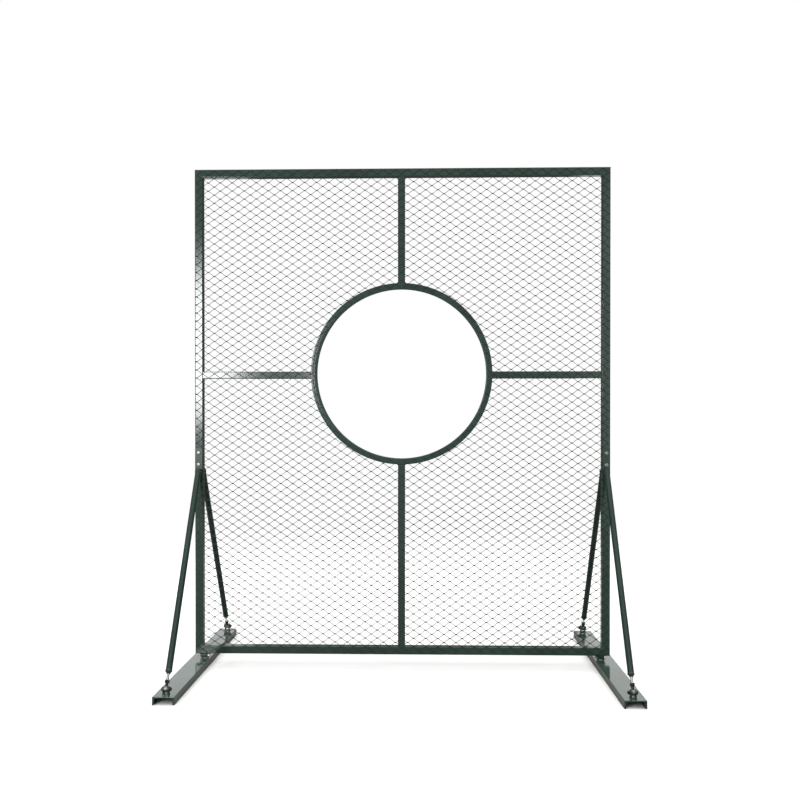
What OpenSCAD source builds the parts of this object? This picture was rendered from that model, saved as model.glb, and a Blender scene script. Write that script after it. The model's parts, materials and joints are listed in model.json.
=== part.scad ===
// A free-standing throwing and chipping target. A square-tube frame carries one sheet of
// expanded steel net and, on four spokes, a round target ring. The frame tilts a little on
// two pins above its channel feet, and four braces with threaded adjusters hold it plumb.
// X runs across the target, Y from front (-) to back (+), Z up from the ground.

/* [Frame] */
// Overall width of the frame
frame_w = 2050; // [1700:10:2400]
// Overall height of the frame
frame_h = 2400; // [2200:10:2800]
// Outer side of the frame's square tube
frame_tube = 40; // [36:1:50]
// Wall of the frame's tube
frame_wall = 3; // [2:0.5:4]
// Outer corner radius of the frame's tube
frame_corner_r = 4; // [3:0.5:6]
// Clear height from the feet to the frame's lower edge
frame_lift = 28; // [27:1:40]

/* [Target ring] */
// Inner diameter of the target ring
ring_inner_d = 836; // [600:2:1000]
// Height of the ring's centre above the ground
ring_centre_z = 1452; // [1300:2:1600]
// Outer side of the ring's square tube
ring_tube = 30; // [25:1:36]
// Wall of the ring's tube
ring_wall = 2.5; // [2:0.5:4]
// Outer corner radius of the ring's tube
ring_corner_r = 3; // [2:0.5:4]

/* [Spokes] */
// Outer side of the spokes' square tube
spoke_tube = 35; // [30:1:40]
// Wall of the spokes' tube
spoke_wall = 2.5; // [2:0.5:4]
// Outer corner radius of the spokes' tube
spoke_corner_r = 3.5; // [2:0.5:5]
// How far the two side spokes lie below the ring's centre
side_spoke_drop = 6; // [0:1:12]

/* [Net] */
// Long way of one diamond, before it is fitted to the width
net_long = 220; // [220:5:400]
// Short way of one diamond, before it is fitted to the height
net_short = 146; // [142:2:280]
// Width of one strand, measured up the short way
net_strand = 8; // [5:0.5:14]
// Length of the joint between two crossing strands
net_joint = 40; // [20:2:60]
// Thickness of the sheet
net_t = 3; // [2:0.5:5]
// How far the sheet laps over the frame's face
net_lap = 37; // [20:1:38]
// How far the sheet's hole stands back from the ring's inner edge
net_setback = 8; // [2:1:20]
// Width of the sheared edge left whole round the sheet
net_edge = 10; // [6:1:20]

/* [Feet] */
// Length of each foot, from front to back
foot_length = 1314; // [1290:2:1800]
// Width of the foot's channel
foot_w = 96; // [90:1:120]
// Height of the foot's channel
foot_h = 36; // [34:1:60]
// Thickness of the channel's web
foot_web = 6; // [4:0.5:8]
// Thickness of the channel's flange at its tip
flange_tip = 6; // [4:0.5:6.5]
// Thickness of the channel's flange where it leaves the web
flange_root = 10; // [7:0.5:12]
// Radius of the fillet between web and flange
foot_fillet = 8; // [3:0.5:9]

/* [Braces] */
// Distance of the braces from the uprights' middle, towards the target's middle
brace_inset = 3; // [0:1:10]
// Distance of a brace's lower pivot from the foot's end
lug_setback = 37; // [30:1:60]
// Height of a brace's lower pivot above the foot
lug_pivot_h = 24; // [23:1:40]
// Distance of a brace's upper pin from the frame's middle plane
brace_top_y = 50; // [50:1:70]
// Height of a brace's upper pin above the ground
top_pin_z = 968; // [800:2:1200]
// Outer diameter of the brace's tube
brace_d = 28; // [26:1:30]
// Wall of the brace's tube
brace_wall = 2.5; // [2:0.5:3]
// How far the tube runs past its upper pin
brace_head = 12; // [11:0.5:16]

/* [Adjusters] */
// Diameter of the adjuster's screw
screw_d = 12; // [10:1:13]
// Length of bare thread between lock nut and brace
bare_thread = 28; // [20:1:40]
// Length of thread inside the brace
thread_in_brace = 70; // [50:5:120]
// Outer diameter of the screw's eye
eye_d = 26; // [24:1:30]
// Width of the screw's eye
eye_w = 14; // [14:1:20]
// Length of the neck between the eye and the lock nut
eye_neck = 14; // [8:1:24]
// Width across the flats of the lock nut
lock_nut_flats = 19; // [18:1:24]
// Thickness of the lock nut
lock_nut_t = 12; // [8:1:14]
// Length of the taper at the brace's lower end
bush_taper = 14; // [8:1:20]
// Diameter of the bush at its small end
bush_tip_d = 18; // [16:1:24]

/* [Lugs and brackets] */
// Plate thickness of the lugs on the feet
lug_t = 5; // [4:0.5:7]
// Plate thickness of the upper brackets
bracket_t = 5; // [4:0.5:6]
// Width of the upper brackets' plate
bracket_w = 36; // [30:1:40]
// Thickness of the tongue that reaches into the brace
tongue_t = 10; // [8:1:11]
// Height of the lower bracket bolt above the brace's pin
bracket_bolt_rise = 35; // [33:1:60]
// Distance between the two bolts of a bracket
bracket_bolt_gap = 58; // [40:1:80]
// Distance of the tilt pin from the foot's centre line, towards the target's middle
tilt_inset = 23; // [10:1:26]
// Height of the tilt pin above the foot
tilt_pin_h = 16; // [15:0.5:18]
// Length of the knuckle that turns on the tilt pin
knuckle_w = 22; // [16:1:24]
// Diameter of the knuckle
knuckle_d = 20; // [19:0.5:21]
// Thickness of the base plate under the tilt pin
clevis_base = 4; // [3:0.5:5]

/* [Fasteners] */
// Diameter of the pivot bolts and pins
pivot_d = 10; // [9:1:12]
// How far a brace's upper pin stands out of the brace
pin_end = 2; // [1:0.5:4]
// Width across the flats of the pivot bolts' heads and nuts
pivot_flats = 16; // [15:1:19]
// Diameter of the bracket bolts
bolt_d = 10; // [8:1:12]
// Width across the flats of the bracket bolts' heads and nuts
bolt_flats = 16; // [13:1:18]
// How far a bolt's end stands out of its nut
bolt_end = 4; // [2:0.5:8]

/* [Clearances] */
// Radial clearance of a pin that turns, or of a screw in its thread
turn_gap = 0.05; // [0.02:0.01:0.1]
// Radial clearance of a bolt that only clamps
bolt_gap = 0.25; // [0.1:0.05:0.5]
// Radial clearance of a brace on its upper pin
pin_gap = 0.75; // [0.6:0.05:1]
// Side clearance beside a moving eye, knuckle or tube
side_gap = 0.8; // [0.3:0.1:1.5]

/* [Hidden] */

FRONT = -1;
REAR = 1;
LEFT = -1;
RIGHT = 1;
ENDS = [FRONT, REAR];
SIDES = [LEFT, RIGHT];

FINE = 48;
RING_FINE = 180;
eps = 1;

// The frame and what lies in its plane.
frame_bottom = foot_h + frame_lift;
frame_top = frame_bottom + frame_h;
frame_mid_z = (frame_bottom + frame_top) / 2;
face_y = -frame_tube / 2;
back_y = frame_tube / 2;
upright_x = (frame_w - frame_tube) / 2;
clear_w = frame_w - 2 * frame_tube;

ring_inner_r = ring_inner_d / 2;
ring_outer_r = ring_inner_r + ring_tube;
ring_y = face_y + ring_tube / 2;
spoke_y = face_y + spoke_tube / 2;

// The net is fitted with a whole number of diamonds each way.
net_w = clear_w + 2 * net_lap;
net_h = frame_h - 2 * frame_tube + 2 * net_lap;
net_cols = round(net_w / net_long);
net_rows = round(net_h / net_short);
net_pitch_x = net_w / net_cols;
net_pitch_z = net_h / net_rows;
net_hole_r = ring_inner_r + net_setback;
net_front = face_y - net_t;
gap_half_x = (net_pitch_x - net_joint) / 2;
gap_half_z = net_pitch_z / 2 - net_strand;

// The feet stand under the uprights, and the braces in the same planes.
foot_x = upright_x;
lug_z = foot_h + lug_pivot_h;
tilt_x = foot_x - tilt_inset;
tilt_z = foot_h + tilt_pin_h;

// A brace's axis runs from its lower pivot to its upper pin.
brace_x = upright_x - brace_inset;
brace_foot_y = foot_length / 2 - lug_setback;
brace_run = brace_foot_y - brace_top_y;
brace_rise = top_pin_z - lug_z;
brace_span = sqrt(brace_run * brace_run + brace_rise * brace_rise);
brace_lean = atan2(brace_run, brace_rise);
lock_nut_at = eye_d / 2 + eye_neck;
bush_at = lock_nut_at + lock_nut_t + bare_thread;
tube_at = bush_at + bush_taper;
screw_end = bush_at + thread_in_brace;
brace_inner_d = brace_d - 2 * brace_wall;
bush_spigot = 20;

// Lugs, brackets and fasteners take their sizes from what they hold.
lug_inner_w = eye_w + 2 * side_gap;
lug_outer_w = lug_inner_w + 2 * lug_t;
lug_r = eye_d / 2;
tongue_r = brace_inner_d / 2 - 2;
bracket_bottom = top_pin_z - tongue_r - 4;
bracket_bolt_zs = [top_pin_z + bracket_bolt_rise, top_pin_z + bracket_bolt_rise + bracket_bolt_gap];
bracket_top = bracket_bolt_zs[1] + 22;
clevis_inner_w = knuckle_w + 2 * side_gap;
clevis_outer_w = clevis_inner_w + 2 * lug_t;
clevis_r = knuckle_d / 2;
pivot_head = 0.62 * pivot_d;
pivot_nut = 0.83 * pivot_d;
bolt_head = 0.64 * bolt_d;
bolt_nut = 0.84 * bolt_d;

// ---- Shapes that several pieces share ----

// A square with rounded corners, centred.
module rounded_square(side, r) {
    square([side, side - 2 * r], center = true);
    square([side - 2 * r, side], center = true);
    for (sx = [-1, 1], sy = [-1, 1])
        translate([sx, sy] * (side / 2 - r))
            circle(r = r, $fn = FINE);
}

// The section of a square tube.
module tube_section(side, wall, r) {
    difference() {
        rounded_square(side, r);
        rounded_square(side - 2 * wall, max(r - wall, 0.5));
    }
}

// A square tube along X whose ends are mitred, long on its lower side.
module mitred_tube(length) {
    half = length / 2;
    side = frame_tube / 2;
    intersection() {
        rotate([90, 0, 90])
            linear_extrude(length, center = true)
                tube_section(frame_tube, frame_wall, frame_corner_r);
        rotate([90, 0, 0])
            linear_extrude(2 * frame_tube, center = true)
                polygon([[-half, -side], [half, -side], [half - frame_tube, side], [-half + frame_tube, side]]);
    }
}

// A hexagon bolt along +Z whose head's underside is at z = 0.
module hex_bolt(d, flats, head, length) {
    translate([0, 0, -head])
        cylinder(h = head, d = flats / cos(30), $fn = 6);
    cylinder(h = length, d = d, $fn = FINE);
}

// A hexagon nut along +Z, from z = 0.
module hex_nut(d, flats, thick) {
    difference() {
        cylinder(h = thick, d = flats / cos(30), $fn = 6);
        translate([0, 0, -eps])
            cylinder(h = thick + 2 * eps, d = d, $fn = FINE);
    }
}

// Turns +Z to +X, for pieces that lie across the target.
module along_x() {
    rotate([0, 90, 0])
        children();
}

// Turns +Z to +Y, for pieces that run from front to back.
module along_y() {
    rotate([-90, 0, 0])
        children();
}

// Draws what is modelled at the right on the side that is asked for.
module on_side(side) {
    mirror([side == LEFT ? 1 : 0, 0, 0])
        children();
}

// Draws what is modelled at the front right on the end and side that are asked for.
module on_corner(end, side) {
    on_side(side)
        mirror([0, end == REAR ? 1 : 0, 0])
            children();
}

// Puts +Z along the front right brace, from its lower pivot.
module on_brace_axis() {
    translate([brace_x, -brace_foot_y, lug_z])
        rotate([-brace_lean, 0, 0])
            children();
}

// A plate across X: a round eye at the origin on a straight foot that reaches down.
module ear(thick, r, down, hole_r) {
    along_x()
        linear_extrude(thick, center = true)
            rotate(90)
                difference() {
                    union() {
                        circle(r = r, $fn = FINE);
                        translate([-r, -down])
                            square([2 * r, down]);
                    }
                    circle(r = hole_r, $fn = FINE);
                }
}

// ---- The frame, its spokes and its ring ----

module frame_green() {
    color([0.17, 0.27, 0.22])
        children();
}

module top_rail() {
    frame_green()
        translate([0, 0, frame_top - frame_tube / 2])
            mirror([0, 0, 1])
                mitred_tube(frame_w);
}

module bottom_rail() {
    frame_green()
        translate([0, 0, frame_bottom + frame_tube / 2])
            mitred_tube(frame_w);
}

// An upright is drilled through, front to back, for its two bracket bolts.
module upright(side) {
    on_side(side)
        difference() {
            translate([upright_x, 0, frame_mid_z])
                rotate([0, -90, 0])
                    mitred_tube(frame_h);
            for (z = bracket_bolt_zs)
                translate([upright_x, face_y - eps, z])
                    along_y()
                        cylinder(h = frame_tube + 2 * eps, r = bolt_d / 2 + bolt_gap, $fn = FINE);
        }
}

module left_upright() {
    frame_green()
        upright(LEFT);
}

module right_upright() {
    frame_green()
        upright(RIGHT);
}

// A spoke runs from the ring, to which it is coped, out to the frame.
module spoke(angle, reach, drop = 0) {
    frame_green()
        translate([0, 0, ring_centre_z])
            difference() {
                translate([0, spoke_y, -drop])
                    rotate([0, angle, 0])
                        linear_extrude(reach)
                            tube_section(spoke_tube, spoke_wall, spoke_corner_r);
                translate([0, -frame_tube, 0])
                    along_y()
                        cylinder(h = 2 * frame_tube, r = ring_outer_r, $fn = RING_FINE);
            }
}

module upper_spoke() {
    spoke(0, frame_top - frame_tube - ring_centre_z);
}

module lower_spoke() {
    spoke(180, ring_centre_z - frame_bottom - frame_tube);
}

module left_spoke() {
    spoke(-90, clear_w / 2, side_spoke_drop);
}

module right_spoke() {
    spoke(90, clear_w / 2, side_spoke_drop);
}

module target_ring() {
    frame_green()
        translate([0, ring_y, ring_centre_z])
            along_y()
                rotate_extrude($fn = RING_FINE)
                    translate([ring_inner_r + ring_tube / 2, 0])
                        tube_section(ring_tube, ring_wall, ring_corner_r);
}

// ---- The net, drawn in its own plane with the ring's centre at the origin ----

net_low = frame_mid_z - net_h / 2 - ring_centre_z;

// One opening of the net: a diamond, blunt above and below where the strands join.
module net_gap() {
    x = gap_half_x;
    z = gap_half_z;
    j = net_joint / 2;
    polygon([[-x, 0], [-j, z], [j, z], [x, 0], [j, -z], [-j, -z]]);
}

// The sheet's outline, drawn in by a margin.
module net_outline(margin) {
    difference() {
        translate([-net_w / 2 + margin, net_low + margin])
            square([net_w - 2 * margin, net_h - 2 * margin]);
        circle(r = net_hole_r + margin, $fn = RING_FINE);
    }
}

// How far a gap reaches from its own centre in the direction of p.
function gap_reach(p) = norm(p) / (abs(p.x) / gap_half_x + abs(p.y) / gap_half_z);

// A gap is cut unless nearly all of it lies within the ring's edge.
function gap_shows(p) = norm(p) > net_hole_r + net_edge - 0.8 * gap_reach(p);

net_gap_places = [
    for (row = [0 : 2 * net_rows], col = [0 : net_cols - row % 2])
        let (p = [(col - net_cols / 2 + (row % 2) / 2) * net_pitch_x, net_low + row * net_pitch_z / 2])
            if (gap_shows(p)) p
];

// The sheet covers the frame's whole face, so the bracket bolts pass through it.
module net_sheet() {
    color([0.13, 0.17, 0.15])
        translate([0, face_y, ring_centre_z])
            rotate([90, 0, 0])
                linear_extrude(net_t)
                    difference() {
                        net_outline(0);
                        intersection() {
                            net_outline(net_edge);
                            for (p = net_gap_places)
                                translate(p)
                                    net_gap();
                        }
                        for (side = SIDES, z = bracket_bolt_zs)
                            translate([side * upright_x, z - ring_centre_z])
                                circle(r = bolt_d / 2 + bolt_gap, $fn = FINE);
                    }
}

// ---- The tilt pins under the frame ----

// A knuckle hangs from the bottom rail and turns on its pin between the clevis's ears.
module knuckle(side) {
    frame_green()
        on_side(side)
            translate([tilt_x, 0, tilt_z])
                difference() {
                    union() {
                        along_x()
                            cylinder(h = knuckle_w, d = knuckle_d, center = true, $fn = FINE);
                        translate([-knuckle_w / 2, -knuckle_d / 2, 0])
                            cube([knuckle_w, knuckle_d, frame_bottom - tilt_z]);
                    }
                    along_x()
                        cylinder(h = knuckle_w + 2 * eps, r = pivot_d / 2 + turn_gap, center = true, $fn = FINE);
                }
}

module left_knuckle() {
    knuckle(LEFT);
}

module right_knuckle() {
    knuckle(RIGHT);
}

// A U-shaped seat: a base plate on the foot and two ears that hold a pin at the origin.
module seat(inner_w, outer_w, base, height, r, hole_r) {
    for (s = [-1, 1])
        translate([s * (inner_w + outer_w) / 4, 0, 0])
            ear((outer_w - inner_w) / 2, r, height, hole_r);
    translate([-outer_w / 2, -r, -height])
        cube([outer_w, 2 * r, base]);
}

module clevis(side) {
    frame_green()
        on_side(side)
            translate([tilt_x, 0, tilt_z])
                seat(clevis_inner_w, clevis_outer_w, clevis_base, tilt_pin_h, clevis_r, pivot_d / 2 + turn_gap);
}

module left_clevis() {
    clevis(LEFT);
}

module right_clevis() {
    clevis(RIGHT);
}

// The pin's head is on the outer side, its nut on the inner side.
module tilt_bolts() {
    color("silver")
        for (side = SIDES)
            on_side(side)
                translate([tilt_x + clevis_outer_w / 2, 0, tilt_z])
                    rotate([0, -90, 0])
                        hex_bolt(pivot_d, pivot_flats, pivot_head, clevis_outer_w + pivot_nut + bolt_end);
}

module tilt_nuts() {
    color("silver")
        for (side = SIDES)
            on_side(side)
                translate([tilt_x - clevis_outer_w / 2, 0, tilt_z])
                    rotate([0, -90, 0])
                        hex_nut(pivot_d + 2 * turn_gap, pivot_flats, pivot_nut);
}

// ---- The feet and their brace lugs ----

function arc(centre, r, from, to, steps) = [
    for (i = [0 : steps])
        let (a = from + (to - from) * i / steps)
            centre + r * [cos(a), sin(a)]
];

// The space under the channel: its sides lean with the flanges' taper, and its upper
// corners are filleted.
module foot_hollow() {
    under = foot_h - foot_web;
    root_x = foot_w / 2 - flange_root;
    tip_x = foot_w / 2 - flange_tip;
    lean = atan2(tip_x - root_x, under);
    corner = [root_x + foot_fillet * tan(lean) - foot_fillet / cos(lean), under - foot_fillet];
    fillet = arc(corner, foot_fillet, 90, lean, 6);
    right_side = concat(fillet, [[tip_x + tan(lean), -eps]]);
    left_side = [for (i = [len(right_side) - 1 : -1 : 0]) [-right_side[i].x, right_side[i].y]];
    polygon(concat(right_side, left_side));
}

module foot(side) {
    frame_green()
        on_side(side)
            translate([foot_x, 0, 0])
                rotate([90, 0, 0])
                    linear_extrude(foot_length, center = true)
                        difference() {
                            translate([-foot_w / 2, 0])
                                square([foot_w, foot_h]);
                            foot_hollow();
                        }
}

module left_foot() {
    foot(LEFT);
}

module right_foot() {
    foot(RIGHT);
}

module lug(end, side) {
    frame_green()
        on_corner(end, side)
            translate([brace_x, -brace_foot_y, lug_z])
                seat(lug_inner_w, lug_outer_w, lug_t, lug_pivot_h, lug_r, pivot_d / 2 + turn_gap);
}

module front_left_lug() {
    lug(FRONT, LEFT);
}

module front_right_lug() {
    lug(FRONT, RIGHT);
}

module rear_left_lug() {
    lug(REAR, LEFT);
}

module rear_right_lug() {
    lug(REAR, RIGHT);
}

module lug_bolts() {
    color("silver")
        for (end = ENDS, side = SIDES)
            on_corner(end, side)
                translate([brace_x + lug_outer_w / 2, -brace_foot_y, lug_z])
                    rotate([0, -90, 0])
                        hex_bolt(pivot_d, pivot_flats, pivot_head, lug_outer_w + pivot_nut + bolt_end);
}

module lug_nuts() {
    color("silver")
        for (end = ENDS, side = SIDES)
            on_corner(end, side)
                translate([brace_x - lug_outer_w / 2, -brace_foot_y, lug_z])
                    rotate([0, -90, 0])
                        hex_nut(pivot_d + 2 * turn_gap, pivot_flats, pivot_nut);
}

// ---- The adjusters ----

// The screw's eye turns on the lug's bolt, and its thread runs up into the brace.
module screw(end, side) {
    color([0.75, 0.76, 0.76])
        on_corner(end, side)
            on_brace_axis()
                difference() {
                    union() {
                        along_x()
                            cylinder(h = eye_w, d = eye_d, center = true, $fn = FINE);
                        cylinder(h = screw_end, d = screw_d, $fn = FINE);
                    }
                    along_x()
                        cylinder(h = eye_w + 2 * eps, r = pivot_d / 2 + turn_gap, center = true, $fn = FINE);
                }
}

module front_left_screw() {
    screw(FRONT, LEFT);
}

module front_right_screw() {
    screw(FRONT, RIGHT);
}

module rear_left_screw() {
    screw(REAR, LEFT);
}

module rear_right_screw() {
    screw(REAR, RIGHT);
}

module lock_nut(end, side) {
    color([0.08, 0.08, 0.08])
        on_corner(end, side)
            on_brace_axis()
                translate([0, 0, lock_nut_at])
                    hex_nut(screw_d + 2 * turn_gap, lock_nut_flats, lock_nut_t);
}

module front_left_lock_nut() {
    lock_nut(FRONT, LEFT);
}

module front_right_lock_nut() {
    lock_nut(FRONT, RIGHT);
}

module rear_left_lock_nut() {
    lock_nut(REAR, LEFT);
}

module rear_right_lock_nut() {
    lock_nut(REAR, RIGHT);
}

// A turned bush closes the brace's lower end: a taper outside and a spigot inside the
// tube, bored for the screw.
module bush(end, side) {
    bore = screw_d / 2 + turn_gap;
    spigot = brace_inner_d / 2 - turn_gap;
    color([0.10, 0.14, 0.12])
        on_corner(end, side)
            on_brace_axis()
                rotate_extrude($fn = FINE)
                    polygon([
                        [bore, bush_at],
                        [bush_tip_d / 2, bush_at],
                        [brace_d / 2, tube_at],
                        [spigot, tube_at],
                        [spigot, tube_at + bush_spigot],
                        [bore, tube_at + bush_spigot]
                    ]);
}

module front_left_bush() {
    bush(FRONT, LEFT);
}

module front_right_bush() {
    bush(FRONT, RIGHT);
}

module rear_left_bush() {
    bush(REAR, LEFT);
}

module rear_right_bush() {
    bush(REAR, RIGHT);
}

// ---- The braces and their upper brackets ----

// A round tube, cross-drilled near its upper end for its pin and slotted there for the
// bracket's tongue.
module brace(end, side) {
    slot_w = tongue_t + 2 * side_gap;
    frame_green()
        on_corner(end, side)
            on_brace_axis()
                difference() {
                    translate([0, 0, tube_at])
                        cylinder(h = brace_span + brace_head - tube_at, d = brace_d, $fn = FINE);
                    translate([0, 0, tube_at - eps])
                        cylinder(h = brace_span + brace_head - tube_at + 2 * eps, d = brace_inner_d, $fn = FINE);
                    translate([0, 0, brace_span])
                        along_x()
                            cylinder(h = brace_d + 2 * eps, r = pivot_d / 2 + pin_gap, center = true, $fn = FINE);
                    translate([-slot_w / 2, 0, brace_span - tongue_r])
                        cube([slot_w, brace_d, tongue_r + brace_head + eps]);
                }
}

module front_left_brace() {
    brace(FRONT, LEFT);
}

module front_right_brace() {
    brace(FRONT, RIGHT);
}

module rear_left_brace() {
    brace(REAR, LEFT);
}

module rear_right_brace() {
    brace(REAR, RIGHT);
}

// A bracket is a plate bolted to the upright, with a tongue that reaches into the brace
// and holds its pin. The front one lies on the net, and the rear one on the tube.
module bracket(end, side) {
    seat_y = end == FRONT ? -net_front : back_y;
    frame_green()
        on_corner(end, side)
            difference() {
                union() {
                    translate([upright_x - bracket_w / 2, -seat_y - bracket_t, bracket_bottom])
                        cube([bracket_w, bracket_t, bracket_top - bracket_bottom]);
                    translate([brace_x, -brace_top_y, top_pin_z])
                        rotate([90, 0, 0])
                            ear(tongue_t, tongue_r, brace_top_y - seat_y, pivot_d / 2 + turn_gap);
                }
                for (z = bracket_bolt_zs)
                    translate([upright_x, -seat_y - bracket_t - eps, z])
                        along_y()
                            cylinder(h = bracket_t + 2 * eps, r = bolt_d / 2 + bolt_gap, $fn = FINE);
            }
}

module front_left_bracket() {
    bracket(FRONT, LEFT);
}

module front_right_bracket() {
    bracket(FRONT, RIGHT);
}

module rear_left_bracket() {
    bracket(REAR, LEFT);
}

module rear_right_bracket() {
    bracket(REAR, RIGHT);
}

// The bolts clamp the front bracket, the upright and the rear bracket together.
bracket_grip = back_y - net_front + 2 * bracket_t;

module bracket_bolts() {
    color("silver")
        for (side = SIDES, z = bracket_bolt_zs)
            on_side(side)
                translate([upright_x, net_front - bracket_t, z])
                    along_y()
                        hex_bolt(bolt_d, bolt_flats, bolt_head, bracket_grip + bolt_nut + bolt_end);
}

module bracket_nuts() {
    color("silver")
        for (side = SIDES, z = bracket_bolt_zs)
            on_side(side)
                translate([upright_x, back_y + bracket_t, z])
                    along_y()
                        hex_nut(bolt_d + 2 * turn_gap, bolt_flats, bolt_nut);
}

// Plain pins, tight in the brackets' tongues, that the braces turn on.
module brace_pins() {
    color([0.10, 0.14, 0.12])
        for (end = ENDS, side = SIDES)
            on_corner(end, side)
                translate([brace_x, -brace_top_y, top_pin_z])
                    along_x()
                        cylinder(h = brace_d + 2 * pin_end, d = pivot_d, center = true, $fn = FINE);
}

top_rail();
bottom_rail();
left_upright();
right_upright();
upper_spoke();
lower_spoke();
left_spoke();
right_spoke();
target_ring();
net_sheet();
left_knuckle();
right_knuckle();
front_left_bracket();
front_right_bracket();
rear_left_bracket();
rear_right_bracket();
bracket_bolts();
bracket_nuts();
brace_pins();
left_foot();
right_foot();
front_left_lug();
front_right_lug();
rear_left_lug();
rear_right_lug();
lug_bolts();
lug_nuts();
left_clevis();
right_clevis();
tilt_bolts();
tilt_nuts();
front_left_screw();
front_right_screw();
rear_left_screw();
rear_right_screw();
front_left_lock_nut();
front_right_lock_nut();
rear_left_lock_nut();
rear_right_lock_nut();
front_left_bush();
front_right_bush();
rear_left_bush();
rear_right_bush();
front_left_brace();
front_right_brace();
rear_left_brace();
rear_right_brace();
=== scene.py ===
import json
import math

import bmesh
import bpy
from mathutils import Matrix, Vector


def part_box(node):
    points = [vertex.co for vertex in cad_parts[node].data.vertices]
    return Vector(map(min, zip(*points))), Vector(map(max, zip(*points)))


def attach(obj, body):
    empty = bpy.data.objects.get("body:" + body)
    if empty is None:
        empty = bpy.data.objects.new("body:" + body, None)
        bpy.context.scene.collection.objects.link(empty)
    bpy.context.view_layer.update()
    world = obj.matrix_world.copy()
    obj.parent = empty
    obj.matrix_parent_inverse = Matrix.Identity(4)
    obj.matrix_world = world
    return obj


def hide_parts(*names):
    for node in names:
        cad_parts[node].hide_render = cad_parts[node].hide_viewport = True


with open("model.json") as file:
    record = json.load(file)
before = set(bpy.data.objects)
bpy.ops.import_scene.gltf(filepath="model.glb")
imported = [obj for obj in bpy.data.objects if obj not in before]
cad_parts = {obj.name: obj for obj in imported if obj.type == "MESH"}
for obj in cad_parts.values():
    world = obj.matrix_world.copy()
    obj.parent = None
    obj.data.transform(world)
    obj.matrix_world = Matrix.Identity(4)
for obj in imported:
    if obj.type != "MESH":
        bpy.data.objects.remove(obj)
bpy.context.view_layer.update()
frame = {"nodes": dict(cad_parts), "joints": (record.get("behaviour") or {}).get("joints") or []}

bl_info = {
    "name": "Golf Chipping Target",
    "version": (1, 0, 0),
    "blender": (4, 5, 0),
    "location": "View3D > Sidebar > Chipping Target",
    "description": "Makes the net, welds, screws, fasteners and finishes of a steel chipping target",
    "category": "Object",
}

ENDS = ("front", "rear")
SIDES = ("left", "right")
CORNERS = [f"{end}_{side}" for end in ENDS for side in SIDES]
JOINTS = {joint["name"]: joint for joint in frame["joints"]}
NET_LOW, NET_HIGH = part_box("net_sheet")
RING_LOW, RING_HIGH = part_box("target_ring")
RING_CENTRE = (RING_LOW + RING_HIGH) / 2
RING_OUTER = (RING_HIGH.x - RING_LOW.x) / 2
RING_TUBE = RING_HIGH.y - RING_LOW.y
RING_INNER = RING_OUTER - RING_TUBE
RAILS = ("top_rail", "bottom_rail", "left_upright", "right_upright")
SPOKES = ("upper_spoke", "lower_spoke", "left_spoke", "right_spoke")

# Sizes of the adjusters and the braces, the same as in the solids.
SCREW_RADIUS = 0.006
EYE_RADIUS, EYE_HALF_WIDTH, EYE_CHAMFER = 0.013, 0.007, 0.0012
LOCK_NUT_FLATS, LOCK_NUT_BORE = 0.019, 0.0054
BUSH_BORE = 0.0061
BRACE_OUTER, BRACE_INNER = 0.014, 0.0115
PIN_HOLE, PIN_DROP = 0.00575, 0.012
SLOT_WIDTH, SLOT_DROP = 0.0116, 0.0095

# Points that lie closer than this are one point.
MERGE = 1e-6
# The same for the solids' own meshes, and for a point on a cutting plane.
SOLID_MERGE, CUT = 2e-6, 1e-7


# ---- Settings ----


class NetSettings(bpy.types.PropertyGroup):
    """Sizes of the expanded-metal net."""

    long_way: bpy.props.FloatProperty(
        name="Long way", description="Width of one diamond",
        default=0.0598, min=0.03, unit="LENGTH",
    )
    short_way: bpy.props.FloatProperty(
        name="Short way", description="Height of one diamond",
        default=0.0402, min=0.02, unit="LENGTH",
    )
    strand: bpy.props.FloatProperty(
        name="Strand", description="Width of one strand, up the short way",
        default=0.0029, min=0.002, unit="LENGTH",
    )
    joint: bpy.props.FloatProperty(
        name="Joint", description="Length of the joint between two strands",
        default=0.008, min=0.004, unit="LENGTH",
    )
    thickness: bpy.props.FloatProperty(
        name="Thickness", description="Thickness of the sheet before it is stretched",
        default=0.0016, unit="LENGTH",
    )
    tilt: bpy.props.FloatProperty(
        name="Tilt", description="How far a strand's upper edge leans back",
        default=0.0008, unit="LENGTH",
    )
    setback: bpy.props.FloatProperty(
        name="Setback", description="From the ring's inner edge to the hole's edge",
        default=0.008, unit="LENGTH",
    )


class FinishSettings(bpy.types.PropertyGroup):
    """Colours of the paint and the metal."""

    green: bpy.props.FloatVectorProperty(
        name="Paint", description="Gloss paint on the frame",
        subtype="COLOR", size=3, default=(0.0150, 0.0395, 0.0280),
    )
    net_green: bpy.props.FloatVectorProperty(
        name="Net paint", description="Paint on the net",
        subtype="COLOR", size=3, default=(0.006, 0.011, 0.008),
    )
    zinc: bpy.props.FloatVectorProperty(
        name="Zinc", description="Zinc plate on the fasteners",
        subtype="COLOR", size=3, default=(0.62, 0.63, 0.61),
    )


class StudioSettings(bpy.types.PropertyGroup):
    """The floor and the soft light round the target."""

    floor: bpy.props.FloatVectorProperty(
        name="Floor", description="Colour of the floor",
        subtype="COLOR", size=3, default=(0.90, 0.90, 0.89),
    )
    bounce: bpy.props.FloatVectorProperty(
        name="Bounce", description="Colour of the floor in reflections",
        subtype="COLOR", size=3, default=(0.29, 0.28, 0.26),
    )
    ceiling: bpy.props.FloatProperty(
        name="Ceiling", description="Light from overhead",
        default=1.9, min=0.0,
    )
    front: bpy.props.FloatProperty(
        name="Front", description="Light from the front",
        default=0.5, min=0.0,
    )
    back: bpy.props.FloatProperty(
        name="Back", description="Light from all other sides",
        default=0.12, min=0.0,
    )


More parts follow.
